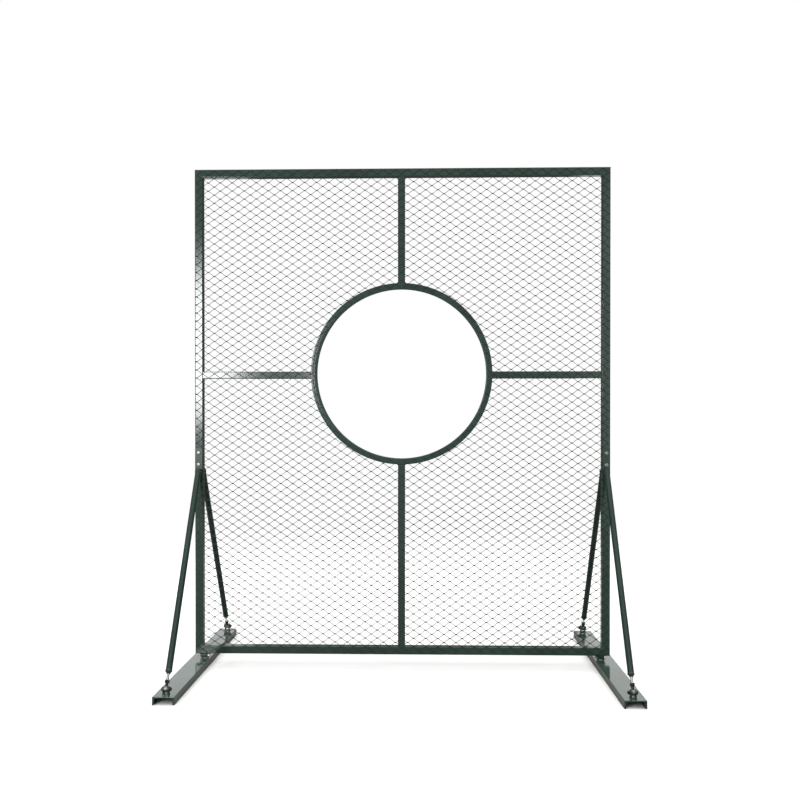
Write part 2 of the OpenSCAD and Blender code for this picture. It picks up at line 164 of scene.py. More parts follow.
class SteelSettings(bpy.types.PropertyGroup):
    """Sizes of the welds, rounded edges and threads."""

    weld: bpy.props.FloatProperty(
        name="Weld", description="Radius of a weld bead",
        default=0.0028, min=0.001, unit="LENGTH",
    )
    ripple: bpy.props.FloatProperty(
        name="Ripple", description="Distance between two ripples of a bead",
        default=0.0034, min=0.002, unit="LENGTH",
    )
    edge: bpy.props.FloatProperty(
        name="Edge", description="Rounding of cut steel edges",
        default=0.0009, min=0.0002, unit="LENGTH",
    )
    screw_pitch: bpy.props.FloatProperty(
        name="Screw pitch", description="Pitch of the adjusting screws",
        default=0.00175, min=0.001, unit="LENGTH",
    )
    bolt_size: bpy.props.FloatProperty(
        name="Bolt", description="Diameter of the bolts and pins",
        default=0.010, min=0.004, unit="LENGTH",
    )
    bolt_flats: bpy.props.FloatProperty(
        name="Bolt flats", description="Width of a bolt's head across its flats",
        default=0.016, unit="LENGTH",
    )
    bolt_pitch: bpy.props.FloatProperty(
        name="Bolt pitch", description="Pitch of the bolts' threads",
        default=0.0015, unit="LENGTH",
    )


# ---- Finishes ----

# Pale grey laid on faces that look up: partly dust, partly a painted reflection of the light from above.
DUST_AND_SHEEN = (0.20, 0.21, 0.19)
OXIDE, RUBBED_OXIDE = (0.012, 0.012, 0.013), (0.06, 0.06, 0.058)
# Depth of the finest grain in a painted or plated surface.
FINE_GRAIN = 0.00006


class Value:
    """A shader value: Python's operators on it add Math nodes."""

    def __init__(self, graph, socket):
        self.graph = graph
        self.socket = socket

    def math(self, operation, *values):
        inputs = dict(enumerate(values))
        return self.graph.node("ShaderNodeMath", {"operation": operation}, inputs)

    def __add__(self, other):
        return self.math("ADD", self, other)

    __radd__ = __add__

    def __rsub__(self, other):
        return self.math("SUBTRACT", other, self)

    def __mul__(self, other):
        return self.math("MULTIPLY", self, other)

    __rmul__ = __mul__

    def step(self, low, high):
        """0 below low, 1 above high, and smooth between them."""
        settings = {"interpolation_type": "SMOOTHSTEP"}
        inputs = {"Value": self, "From Min": low, "From Max": high}
        return self.graph.node("ShaderNodeMapRange", settings, inputs)


class Graph:
    """A tree of shader nodes."""

    def __init__(self, tree):
        self.tree = tree

    def node(self, kind, settings, inputs, output=0):
        """Adds a node, sets it up, feeds its sockets and returns one of its outputs."""
        made = self.tree.nodes.new(kind)
        for key, value in settings.items():
            setattr(made, key, value)
        for key, value in inputs.items():
            if isinstance(value, Value):
                self.tree.links.new(value.socket, made.inputs[key])
            else:
                made.inputs[key].default_value = value
        return Value(self, made.outputs[output])

    def camera_ray(self):
        """1 where the camera looks straight, 0 in reflections and other indirect light."""
        return self.node("ShaderNodeLightPath", {}, {}, "Is Camera Ray")

    def parts(self, vector):
        """A vector's X, Y and Z."""
        return [self.node("ShaderNodeSeparateXYZ", {}, {0: vector}, axis) for axis in "XYZ"]


class Finish(Graph):
    """A material, built node by node round one Principled shader."""

    def __init__(self, name, constants):
        self.material = bpy.data.materials.new(name)
        self.material.use_nodes = True
        super().__init__(self.material.node_tree)
        self.shader = self.tree.nodes["Principled BSDF"]
        for socket, value in constants.items():
            self.shader.inputs[socket].default_value = value
        self.place = self.node("ShaderNodeTexCoord", {}, {}, "Object")

    def noise(self, scale, detail, roughness):
        inputs = {"Vector": self.place, "Scale": scale, "Detail": detail, "Roughness": roughness}
        return self.node("ShaderNodeTexNoise", {}, inputs, "Fac")

    def blend(self, factor, low, high):
        """A colour between low and high. Each is a colour or the output of a colour node."""
        colours = [value if isinstance(value, Value) else (*value, 1.0) for value in (low, high)]
        inputs = {0: factor, 6: colours[0], 7: colours[1]}
        return self.node("ShaderNodeMix", {"data_type": "RGBA"}, inputs, 2)

    def facing_up(self):
        """1 on faces that look up, 0 on faces that look sideways or down."""
        normal = self.node("ShaderNodeNewGeometry", {}, {}, "Normal")
        return self.parts(normal)[2].step(0.6, 0.95)

    def bump(self, height, distance, strength, under=None):
        inputs = {"Height": height, "Distance": distance, "Strength": strength}
        if under:
            inputs["Normal"] = under
        return self.node("ShaderNodeBump", {}, inputs)

    def feed(self, socket, value):
        self.tree.links.new(value.socket, self.shader.inputs[socket])


def shade(colour, factor):
    """The colour made lighter or darker."""
    return tuple(min(1.0, part * factor) for part in colour)


def gloss_paint(name, colour, roughness, peel=1.0, waves=0.15, level=0.45):
    """Stoved gloss paint: orange peel, slow waves, dull patches, and a pale film on faces that look up,
    partly dust and partly a painted reflection of the light from above.
    """
    constants = {"IOR": 1.5, "Specular IOR Level": level, "Coat Roughness": 0.06, "Coat IOR": 1.5}
    finish = Finish(name, constants)
    cloud = finish.noise(3.5, 4.0, 0.6)
    fine = finish.noise(60.0, 3.0, 0.6)
    tone = finish.blend(cloud.step(0.35, 0.7), shade(colour, 0.82), shade(colour, 1.18))
    tone = finish.blend(fine.step(0.62, 0.8) * 0.25, tone, shade(colour, 2.2))
    # Faces that look up get a pale film: partly dust, partly a painted reflection of the light from above.
    dust_and_sheen = finish.facing_up() * finish.noise(9.0, 5.0, 0.65).step(0.3, 0.75)
    tone = finish.blend(dust_and_sheen * 0.1, tone, DUST_AND_SHEEN)
    finish.feed("Base Color", tone)
    finish.feed("Roughness", cloud * 0.10 + dust_and_sheen * 0.06 + (roughness - 0.05))
    finish.feed("Coat Weight", cloud * 0.1 * (1.0 - dust_and_sheen))
    swell = finish.bump(finish.noise(14.0, 2.0, 0.4), 0.0012, waves)
    finish.feed("Normal", finish.bump(finish.noise(420.0, 2.0, 0.5), FINE_GRAIN * peel, 0.5, swell))
    return finish.material


def net_paint(colour):
    """Dipped paint on sheared steel: darker and lighter patches at random, and a fine pale grain."""
    finish = Finish("net_paint", {"IOR": 1.5, "Specular IOR Level": 0.25, "Coat Roughness": 0.3})
    patch = finish.noise(7.0, 4.0, 0.6)
    grain = finish.noise(260.0, 3.0, 0.6)
    tone = finish.blend(patch.step(0.3, 0.7), shade(colour, 0.75), shade(colour, 1.3))
    tone = finish.blend(grain.step(0.66, 0.82) * 0.3, tone, shade(colour, 2.4))
    finish.feed("Base Color", tone)
    finish.feed("Roughness", patch * 0.15 + 0.40)
    finish.feed("Coat Weight", 0.06 - grain * 0.06)
    finish.feed("Normal", finish.bump(grain, 0.0002, 0.6))
    return finish.material


def zinc_plate(name, colour):
    """Zinc plate: fine spangle, rolled marks and a faint warm and cool tint."""
    finish = Finish(name, {"IOR": 1.5})
    inputs = {"Vector": finish.place, "Scale": 700.0}
    cells = finish.node("ShaderNodeTexVoronoi", {"feature": "F1"}, inputs, "Color")
    spangle = finish.parts(cells)[0]
    cloud = finish.noise(120.0, 3.0, 0.6)
    warm = (colour[0], colour[1] * 0.99, colour[2] * 0.93)
    tone = finish.blend(cloud.step(0.35, 0.65), shade(colour, 0.85), warm)
    tone = finish.blend(spangle * 0.18, tone, shade(colour, 1.25))
    finish.feed("Base Color", tone)
    finish.feed("Metallic", 1.0 - cloud.step(0.72, 0.85) * 0.3)
    finish.feed("Roughness", spangle * 0.10 + cloud * 0.14 + 0.28)
    finish.feed("Normal", finish.bump(finish.noise(900.0, 2.0, 0.5), FINE_GRAIN, 0.6))
    return finish.material


def black_oxide():
    """Oiled black oxide on the lug bolts, the lock nuts and the screws' necks, a little rubbed."""
    finish = Finish("black_oxide", {"IOR": 1.45})
    rub = finish.noise(220.0, 4.0, 0.65).step(0.6, 0.8)
    finish.feed("Base Color", finish.blend(rub, OXIDE, RUBBED_OXIDE))
    finish.feed("Metallic", rub * 0.4 + 0.5)
    finish.feed("Roughness", 0.42 - rub * 0.12)
    finish.feed("Normal", finish.bump(finish.noise(800.0, 2.0, 0.5), FINE_GRAIN, 0.6))
    return finish.material


def make_finishes():
    """Every finish of the target, by name."""
    colours = bpy.context.scene.target_finish
    green = tuple(colours.green)
    return {
        "frame_paint": gloss_paint("frame_paint", green, roughness=0.15, peel=0.35, waves=0.12),
        "fitting_paint": gloss_paint("fitting_paint", shade(green, 0.9), roughness=0.26, peel=1.6),
        "foot_paint": gloss_paint("foot_paint", shade(green, 1.05), roughness=0.09, waves=0.04),
        # Painted shade: the braces get the frame's green at 0.7 of its brightness, a darker copy of the
        # frame's paint.
        "shaded_brace_paint": gloss_paint("shaded_brace_paint", shade(green, 0.7), roughness=0.34, level=0.2),
        "weld_paint": gloss_paint("weld_paint", shade(green, 0.85), roughness=0.30, peel=2.0),
        "dark_steel": gloss_paint("dark_steel", shade(green, 0.55), roughness=0.34, peel=1.2),
        "net_paint": net_paint(tuple(colours.net_green)),
        "zinc_plate": zinc_plate("zinc_plate", tuple(colours.zinc)),
        # Zinc at half the plain zinc's brightness, on the bracket bolts and nuts.
        "worn_zinc": zinc_plate("worn_zinc", shade(colours.zinc, 0.5)),
        "dull_zinc": zinc_plate("dull_zinc", shade(colours.zinc, 0.3)),
        "black_oxide": black_oxide(),
    }


FINISHES = {}


# ---- Mesh helpers ----


# The weighted-normal modifier's highest weight for large faces.
LARGE_FACES_ONLY = 100


def place_piece(name, bm, finish, slot, body, nodes=(), smooth=35.0, flat=False):
    """Turns a bmesh into a piece of the target that rides on a body and stands for CAD nodes.

    On a piece with large flat faces, those faces alone decide the normals at their edges.
    """
    mesh = mesh_of(name, bm)
    mesh.shade_smooth()
    mesh.set_sharp_from_angle(angle=math.radians(smooth))
    mesh.materials.append(FINISHES[finish])
    piece = add_object(name, mesh)
    if flat:
        weighted = piece.modifiers.new("flat faces", "WEIGHTED_NORMAL")
        weighted.keep_sharp = True
        weighted.weight = LARGE_FACES_ONLY
    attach(piece, body)
    if nodes:
        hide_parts(*nodes)
    return piece


def add_object(name, data):
    """A new object in the scene."""
    thing = bpy.data.objects.new(name, data)
    bpy.context.scene.collection.objects.link(thing)
    return thing


def mesh_of(name, bm):
    """Turns a bmesh into a mesh and frees it."""
    mesh = bpy.data.meshes.new(name)
    bm.to_mesh(mesh)
    bm.free()
    return mesh


def all_of(bm):
    return bm.verts[:] + bm.edges[:] + bm.faces[:]


def join_points(bm, distance=MERGE):
    """Makes one point of the points that lie at one place."""
    bmesh.ops.remove_doubles(bm, verts=bm.verts[:], dist=distance)


def face_out(bm):
    """Turns the faces of closed parts outwards."""
    bmesh.ops.recalc_face_normals(bm, faces=bm.faces[:])


def in_order(parts):
    """Each part once, in the order in which it first comes."""
    return list(dict.fromkeys(parts))


def points_of(parts):
    return [part for part in parts if isinstance(part, bmesh.types.BMVert)]


def edges_of(parts):
    return [part for part in parts if isinstance(part, bmesh.types.BMEdge)]


def merge_copy(bm, other, matrix=Matrix()):
    """Adds a copy of another bmesh, moved by a matrix."""
    mesh = bpy.data.meshes.new("copy")
    other.to_mesh(mesh)
    mesh.transform(matrix)
    bm.from_mesh(mesh)
    bpy.data.meshes.remove(mesh)


def carve(bm, tool, operation):
    """Cuts, keeps or joins one closed bmesh with another."""
    objects = [add_object("carve", mesh_of("carve", part)) for part in (bm, tool)]
    modifier = objects[0].modifiers.new("carve", "BOOLEAN")
    modifier.operation = operation
    modifier.solver = "EXACT"
    modifier.object = objects[1]
    evaluated = objects[0].evaluated_get(bpy.context.evaluated_depsgraph_get())
    result = bmesh.new()
    result.from_mesh(evaluated.data)
    for thing in objects:
        mesh = thing.data
        bpy.data.objects.remove(thing)
        bpy.data.meshes.remove(mesh)
    return result


def cylinder(radius, low, high, segments=32, matrix=Matrix(), top=None):
    """A closed cylinder or cone along Z."""
    bm = bmesh.new()
    place = Matrix.Translation((0, 0, (low + high) / 2))
    bmesh.ops.create_cone(
        bm, cap_ends=True, segments=segments, radius1=radius,
        radius2=radius if top is None else top, depth=high - low,
        matrix=matrix @ place,
    )
    return bm


def turned(profile, segments=48):
    """A turned solid: the profile, points of (radius, height), is spun round Z.

    A profile that starts off the axis is closed on itself and leaves a bore.
    """
    bm = bmesh.new()
    verts = [bm.verts.new((radius, 0, height)) for radius, height in profile]
    bored = profile[0][0] > 0
    edges = [bm.edges.new(pair) for pair in zip(verts, verts[1:] + verts[:bored])]
    bmesh.ops.spin(
        bm, geom=verts + edges, cent=(0, 0, 0), axis=(0, 0, 1), angle=math.tau,
        steps=segments, use_merge=True,
    )
    join_points(bm)
    face_out(bm)
    return bm


def steel_node(node):
    """A merged and simplified copy of a CAD node, ready for its edges to be rounded."""
    bm = bmesh.new()
    bm.from_mesh(frame["nodes"][node].data)
    join_points(bm, SOLID_MERGE)
    bmesh.ops.dissolve_limit(bm, angle_limit=math.radians(1.0), verts=bm.verts[:], edges=bm.edges[:])
    return bm


def round_edges(bm, width, segments=2, limit=40.0):
    """Rounds every edge that is sharper than the limit."""
    limit = math.radians(limit)
    sharp = [edge for edge in bm.edges if edge.is_manifold and edge.calc_face_angle(0.0) > limit]
    bmesh.ops.bevel(
        bm, geom=sharp, offset=width, offset_type="OFFSET", segments=segments, profile=0.5,
        affect="EDGES", clamp_overlap=True, material=-1,
    )
    return bm


def lay_bead(bm, start, end, radius, ripple):
    """A weld bead: a ring of points is drawn along the seam and swells at each ripple."""
    swell, first_swell, tail = 1.28, 1.15, 0.78
    start, end = Vector(start), Vector(end)
    along = end - start
    steps = max(2, round(along.length / ripple)) * 2
    turn = along.to_track_quat("Z", "Y").to_matrix().to_4x4()
    ring = bmesh.ops.create_circle(
        bm, cap_ends=True, radius=radius * 0.7, segments=7, matrix=Matrix.Translation(start) @ turn
    )["verts"]
    edges = in_order(edge for vert in ring for edge in vert.link_edges)
    for number in range(steps):
        grown = bmesh.ops.extrude_edge_only(bm, edges=edges)["geom"]
        ring, edges = points_of(grown), edges_of(grown)
        bmesh.ops.translate(bm, verts=ring, vec=along / steps)
        centre = start + along * (number + 1) / steps
        size = tail if number == steps - 1 else (swell if number % 2 == 0 else 1 / swell)
        size *= first_swell if number == 0 else 1.0
        bmesh.ops.scale(bm, verts=ring, vec=(size, size, size), space=Matrix.Translation(-centre))
    bmesh.ops.holes_fill(bm, edges=edges, sides=0)


def lay_loop(bm, corners, radius, ripple):
    """Beads round a closed seam."""
    for start, end in zip(corners, corners[1:] + corners[:1]):
        lay_bead(bm, start, end, radius, ripple)


def cut_thread(bm, radius, pitch, low, high, steps=20):
    """A thread's ridge round Z: its profile is spun and climbs from low to high as it turns."""
    root = radius - pitch * 0.55
    foot, crest = pitch * 0.46, pitch * 0.08
    profile = [(root, -foot), (radius, -crest), (radius, crest), (root, foot)]
    verts = [bm.verts.new((x, 0, low + z)) for x, z in profile]
    edges = [bm.edges.new(pair) for pair in zip(verts, verts[1:])]
    turns = (high - low) / pitch
    count = round(turns * steps)
    bmesh.ops.spin(
        bm, geom=verts + edges, cent=(0, 0, 0), axis=(0, 0, 1), angle=math.tau * turns,
        dvec=(0, 0, (high - low) / count), steps=count,
    )


def hexagon(flats, low, high, chamfer_low, chamfer_high, bore=0.0):
    """A hexagon head or nut along Z with its corners turned off, and an optional bore."""
    corner = flats / 2 / math.cos(math.pi / 6)
    slope = math.tan(math.radians(27))
    face, past = flats / 2 * 0.97, corner * 1.02
    drop = (corner - face) * slope
    blank = cylinder(corner, low, high, 6)
    low_end = [(face, low), (past, low + drop)] if chamfer_low else [(past, low)]
    high_end = [(past, high - drop), (face, high)] if chamfer_high else [(past, high)]
    blank = carve(blank, turned([(0.0, low), *low_end, *high_end, (0.0, high)]), "INTERSECT")
    if bore:
        blank = carve(blank, cylinder(bore, low - 0.01, high + 0.01, 32), "DIFFERENCE")
        for end, away in ((low, -1), (high, 1)):
            blank = carve(blank, lead_in(bore, end, away), "DIFFERENCE")
    return blank


def lead_in(bore, end, away):
    """A cone that opens a bore at one end."""
    lead = bore * 0.12
    cone = bmesh.new()
    turn = Matrix.Rotation(math.pi if away > 0 else 0, 4, "X")
    bmesh.ops.create_cone(
        cone, cap_ends=True, segments=32, radius1=bore + lead * 2, radius2=bore - lead * 0.5,
        depth=lead * 2.5, matrix=Matrix.Translation((0, 0, end - away * lead * 0.25)) @ turn,
    )
    return cone


def bolt(steel, head, length, thread):
    """A hexagon bolt along Z, its head below z = 0, with a thread on its far end."""
    radius, pitch = steel.bolt_size / 2, steel.bolt_pitch
    core, lap = radius - pitch * 0.5, 0.0005
    bm = hexagon(steel.bolt_flats, -head, 0.0, True, False)
    merge_copy(bm, cylinder(radius, -lap, length - thread))
    merge_copy(bm, cylinder(core, length - thread - lap, length - 0.0008))
    merge_copy(bm, cylinder(core, length - 0.0009, length, top=core * 0.8))
    cut_thread(bm, radius, pitch, length - thread + pitch * 0.5, length - pitch * 0.7)
    return bm


def nut(steel, thick):
    """A hexagon nut along Z, flat below and chamfered above."""
    bore = steel.bolt_size / 2 - steel.bolt_pitch * 0.27
    return hexagon(steel.bolt_flats, 0.0, thick, False, True, bore)


# ---- The net ----


def net_knot(net):
    """One joint of the net with its four half strands, centred at the origin in the XZ plane."""
    half = net.joint / 2
    reach = net.long_way / 4
    lift = (net.short_way / 2 - net.strand) / 2
    bm = bmesh.new()
    places = ((-half, 0, 0), (half, 0, 0), (half, 0, net.strand), (-half, 0, net.strand))
    corners = [bm.verts.new(place) for place in places]
    bm.faces.new(corners)
    bmesh.ops.translate(bm, verts=corners[2:], vec=(0, net.tilt / 2, 0))
    for side, (low, high) in ((1, corners[1:3]), (-1, (corners[0], corners[3]))):
        edge = bm.edges.get((low, high))
        grown = bmesh.ops.extrude_edge_only(bm, edges=[edge])["geom"]
        ends = sorted(points_of(grown), key=lambda vert: vert.co.z)
        bmesh.ops.translate(bm, verts=ends, vec=(side * (reach - half), 0, lift))
        bmesh.ops.translate(bm, verts=ends[:1], vec=(0, -net.tilt / 2, 0))
    below = bmesh.ops.duplicate(bm, geom=all_of(bm))["geom"]
    half_turn = Matrix.Rotation(math.pi, 3, "X")
    bmesh.ops.rotate(bm, verts=points_of(below), cent=(0, 0, 0), matrix=half_turn)
    join_points(bm)
    face_out(bm)
    front = bm.faces[:]
    if sum(face.normal.y for face in front) > 0:
        bmesh.ops.reverse_faces(bm, faces=front)
    back = bmesh.ops.extrude_face_region(bm, geom=front, use_keep_orig=True)["geom"]
    bmesh.ops.translate(bm, verts=points_of(back), vec=(0, net.thickness, 0))
    face_out(bm)
    caps = [
        face for face in bm.faces if all(abs(abs(vert.co.x) - reach) < MERGE for vert in face.verts)
    ]
    bmesh.ops.delete(bm, geom=caps, context="FACES_ONLY")
    return bm


def repeat(bm, count, step):
    """Repeats everything in the bmesh, count times in all."""
    unit = all_of(bm)
    for number in range(1, count):
        made = bmesh.ops.duplicate(bm, geom=unit)["geom"]
        bmesh.ops.translate(bm, verts=points_of(made), vec=Vector(step) * number)


def trim(bm, place, normal):
    """Cuts the net off on the far side of a plane and closes the strands' ends."""
    cut = bmesh.ops.bisect_plane(
        bm, geom=all_of(bm), dist=CUT, plane_co=place, plane_no=normal, clear_outer=True
    )["geom_cut"]
    bmesh.ops.holes_fill(bm, edges=edges_of(cut), sides=0)


def net_grid(net):
    """The lattice's lower left joint, and how many columns and rows of diamonds it has."""
    columns = math.ceil((NET_HIGH.x - NET_LOW.x) / net.long_way) + 2
    rows = math.ceil((NET_HIGH.z - NET_LOW.z) / net.short_way) + 2
    below = math.ceil((RING_CENTRE.z - NET_LOW.z) / net.short_way + 0.5)
    depth = NET_HIGH.y - net.thickness - net.tilt / 2
    first = Vector((-columns * net.long_way / 2, depth, RING_CENTRE.z - below * net.short_way))
    return first, columns, rows


def net_joints(net, low, high):
    """The middles of the joints between two corners of a box, seen from the front."""
    first, columns, rows = net_grid(net)
    for column in range(2 * columns):
        for row in range(column % 2, 2 * rows, 2):
            joint = first + Vector((column * net.long_way / 2, 0, row * net.short_way / 2))
            if low.x < joint.x < high.x and low.z < joint.z < high.z:
                yield joint


def weave_net(net):
    """The whole sheet: a lattice of knots, trimmed to its outline and cut out at the target hole."""
    first, columns, rows = net_grid(net)
    bm = net_knot(net)
    single = bmesh.new()
    merge_copy(single, bm)
    merge_copy(bm, single, Matrix.Translation((net.long_way / 2, 0, net.short_way / 2)))
    single.free()
    repeat(bm, columns, (net.long_way, 0, 0))
    repeat(bm, rows, (0, 0, net.short_way))
    bmesh.ops.translate(bm, verts=bm.verts[:], vec=first)
    hole = RING_INNER + net.setback
    margin = net.long_way / 2
    centre = Vector((0, 0, RING_CENTRE.z))

    def away(face):
        middle = face.calc_center_median()
        return Vector((middle.x, 0, middle.z - centre.z)).length

    inner = [face for face in bm.faces if away(face) < hole - margin]
    bmesh.ops.delete(bm, geom=inner, context="FACES")
    join_points(bm)
    for place, normal in (
        ((NET_LOW.x, 0, 0), (-1, 0, 0)), ((NET_HIGH.x, 0, 0), (1, 0, 0)),
        ((0, 0, NET_LOW.z), (0, 0, -1)), ((0, 0, NET_HIGH.z), (0, 0, 1)),
    ):
        trim(bm, place, normal)
    return cut_hole(bm, centre, hole)


def cut_hole(bm, centre, hole):
    """Cuts the strands round the target hole with planes, each one a side of a many-sided hole."""
    sides, strip = 60, 0.06
    wedges = [[] for _ in range(sides)]
    for face in bm.faces:
        middle = face.calc_center_median() - centre
        middle.y = 0
        if middle.length < hole + strip:
            turn = math.atan2(middle.z, middle.x) / math.tau
            wedges[round(turn * sides) % sides].append(face)
    for number, wedge in enumerate(wedges):
        angle = math.tau * number / sides
        normal = Vector((math.cos(angle), 0, math.sin(angle)))
        faces = [face for face in wedge if face.is_valid]
        corners = [vert for face in faces for vert in face.verts]
        borders = [edge for face in faces for edge in face.edges]
        flat = centre + normal * hole * math.cos(math.pi / sides)
        bmesh.ops.bisect_plane(
            bm, geom=in_order(faces + corners + borders), dist=CUT, plane_co=flat,
            plane_no=normal, clear_inner=True,
        )
    open_edges = [edge for edge in bm.edges if edge.is_boundary]
    bmesh.ops.holes_fill(bm, edges=open_edges, sides=0)
    return bm


def tack_net(net):
    """Small tacks that weld the net's joints to the tubes behind them."""
    margin = Vector((0.012, 0, 0.012))
    low, high = NET_LOW + margin, NET_HIGH - margin
    strips = [
        (NET_LOW, Vector((low.x, 0, NET_HIGH.z))), (Vector((high.x, 0, NET_LOW.z)), NET_HIGH),
        (NET_LOW, Vector((NET_HIGH.x, 0, low.z))), (Vector((NET_LOW.x, 0, high.z)), NET_HIGH),
    ]
    strips += [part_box(node) for node in SPOKES]
    tack = bmesh.new()
    flattened = Matrix.Diagonal((1.0, 0.45, 0.8, 1.0))
    bmesh.ops.create_uvsphere(tack, u_segments=8, v_segments=5, radius=0.0046, matrix=flattened)
    bm = bmesh.new()
    for corners in strips:
        for joint in net_joints(net, *corners):
            merge_copy(bm, tack, Matrix.Translation(joint))
    tack.free()
    return bm


class MakeNet(bpy.types.Operator):
    """Make the expanded-metal net with its trimmed edges, its round hole and its tacks"""

    bl_idname = "target.make_net"
    bl_label = "Net"

    def execute(self, context):
        net = context.scene.target_net
        bm = weave_net(net)
        place_piece("expanded_net", bm, "net_paint", "net_paint", "panel", ["net_sheet"], smooth=30.0)
        place_piece("net_tacks", tack_net(net), "weld_paint", "green_paint", "panel", smooth=60.0)
        return {"FINISHED"}


# ---- The frame ----


class MakeFrame(bpy.types.Operator):
    """Paint the square-tube frame and its spokes, and roll the target ring"""

    bl_idname = "target.make_frame"
    bl_label = "Frame and ring"

    def execute(self, context):
        paint = ("frame_paint", "green_paint", "panel")
        for node in RAILS + SPOKES:
            place_piece(f"{node}_tube", steel_node(node), *paint, [node], smooth=30.0, flat=True)
        place_piece("rolled_ring", roll_ring(), *paint, ["target_ring"], smooth=50.0)
        return {"FINISHED"}


def roll_ring():
    """The ring: a square with rounded corners, spun round the hole's axis."""
    bm = bmesh.new()
    middle = RING_INNER + RING_TUBE / 2
    square = bmesh.ops.create_grid(
        bm, x_segments=1, y_segments=1, size=RING_TUBE / 2, matrix=Matrix.Translation((middle, 0, 0))
    )["verts"]
    bmesh.ops.bevel(
        bm, geom=square, offset=0.003, offset_type="OFFSET", segments=5, profile=0.5,
        affect="VERTICES", clamp_overlap=True, material=-1,
    )
    outline = [edge for edge in bm.edges if edge.is_boundary]
    rim = in_order(vert for edge in outline for vert in edge.verts)
    bmesh.ops.delete(bm, geom=bm.faces[:], context="FACES_ONLY")
    bmesh.ops.rotate(bm, verts=rim, cent=(0, 0, 0), matrix=Matrix.Rotation(math.pi / 2, 3, "X"))
    bmesh.ops.spin(
        bm, geom=rim + outline, cent=(0, 0, 0), axis=(0, 0, 1), angle=math.tau,
        steps=168, use_merge=True,
    )
    join_points(bm)
    face_out(bm)
    place = Matrix.Translation(RING_CENTRE) @ Matrix.Rotation(math.pi / 2, 4, "X")
    bmesh.ops.transform(bm, matrix=place, verts=bm.verts[:])
    return bm


class MakeWelds(bpy.types.Operator):
    """Lay the weld beads on the frame, the ring, the feet and their fittings"""

    bl_idname = "target.make_welds"
    bl_label = "Welds"

    def execute(self, context):
        steel = context.scene.target_steel
        bm = bmesh.new()
        weld_frame(bm, steel)
        weld_spokes(bm, steel)
        weld_knuckles(bm, steel)
        place_piece("frame_welds", bm, "weld_paint", "green_paint", "panel", smooth=60.0)
        bm = bmesh.new()
        weld_feet(bm, steel)
        place_piece("foot_welds", bm, "weld_paint", "green_paint", "feet", smooth=60.0)
        return {"FINISHED"}


def weld_frame(bm, steel):
    """Beads in the frame's four inner corners, and along the mitres at the back."""
    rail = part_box("bottom_rail")
    tube = rail[1].y - rail[0].y
    low, high = rail[0].z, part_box("top_rail")[1].z
    edge = rail[1].x
    inset = 0.004
    for side in (-1, 1):
        for outer_z, towards in ((low, 1), (high, -1)):
            inner = Vector((side * (edge - tube), 0, outer_z + towards * tube))
            start = Vector((side * (edge - inset), tube / 2, outer_z + towards * inset))
            end = Vector((inner.x + side * inset, tube / 2, inner.z - towards * inset))
            lay_bead(bm, start, end, steel.weld * 0.45, steel.ripple)
            across = Vector((0, tube / 2 - inset, 0))
            lay_bead(bm, inner - across, inner + across, steel.weld, steel.ripple)


def weld_spokes(bm, steel):
    """Beads round both ends of each spoke, where it meets the frame and the ring."""
    inset = 0.003
    x, z = Vector((1, 0, 0)), Vector((0, 0, 1))
    for node, outwards, across in zip(SPOKES, (z, -z, -x, x), (x, x, z, z)):
        low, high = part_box(node)
        front, back = low.y + inset, high.y - inset
        edges = [(corner - RING_CENTRE).dot(across) for corner in (low, high)]
        reach = max((corner - RING_CENTRE).dot(outwards) for corner in (low, high))

        def seat(side, out, y):
            place = RING_CENTRE + across * side + outwards * out
            place.y = y
            return place

        for side in edges:
            for out in (math.sqrt(RING_OUTER ** 2 - side ** 2), reach):
                start, end = seat(side, out, front), seat(side, out, back)
                lay_bead(bm, start, end, steel.weld, steel.ripple)
        for out, y in ((RING_OUTER, RING_HIGH.y), (reach, high.y)):
            start, end = seat(edges[0] + inset, out, y), seat(edges[1] - inset, out, y)
            lay_bead(bm, start, end, steel.weld, steel.ripple)


def floor_loop(node, z):
    """The corners of a node's footprint at one height."""
    low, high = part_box(node)
    corners = ((low.x, low.y), (high.x, low.y), (high.x, high.y), (low.x, high.y))
    return [Vector((x, y, z)) for x, y in corners]


def weld_knuckles(bm, steel):
    """Beads round the knuckles' tops, against the bottom rail."""
    for side in SIDES:
        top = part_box(f"{side}_knuckle")[1].z
        lay_loop(bm, floor_loop(f"{side}_knuckle", top), steel.weld * 0.5, steel.ripple)


def weld_feet(bm, steel):
    """Beads round the lugs and the clevises, on the feet."""
    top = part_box("left_foot")[1].z
    for corner in CORNERS:
        lay_loop(bm, floor_loop(f"{corner}_lug", top), steel.weld, steel.ripple)
    for side in SIDES:
        lay_loop(bm, floor_loop(f"{side}_clevis", top), steel.weld * 0.8, steel.ripple)


# ---- Feet and fittings ----


class MakeFeet(bpy.types.Operator):
    """Make the channel feet with their rolled edges"""

    bl_idname = "target.make_feet"
    bl_label = "Feet"

    def execute(self, context):
        for side in SIDES:
            node = f"{side}_foot"
            bm = round_edges(steel_node(node), 0.0016, 3)
            place_piece(
                f"{side}_channel", bm, "foot_paint", "green_paint", "feet", [node], smooth=40.0, flat=True
            )
        return {"FINISHED"}


class MakeFittings(bpy.types.Operator):
    """Make the lugs, clevises, knuckles and upper brackets with broken edges"""

    bl_idname = "target.make_fittings"
    bl_label = "Lugs and brackets"

    def execute(self, context):
        edge = context.scene.target_steel.edge
        bodies = {f"{corner}_lug": "feet" for corner in CORNERS}
        bodies.update({f"{side}_clevis": "feet" for side in SIDES})
        bodies.update({f"{side}_knuckle": "panel" for side in SIDES})
        bodies.update({f"{corner}_bracket": "panel" for corner in CORNERS})
        for node, body in bodies.items():
            bm = round_edges(steel_node(node), edge)
            place_piece(
                f"{node}_plate", bm, "fitting_paint", "green_paint", body, [node], smooth=50.0, flat=True
            )
        return {"FINISHED"}


# ---- Fasteners ----


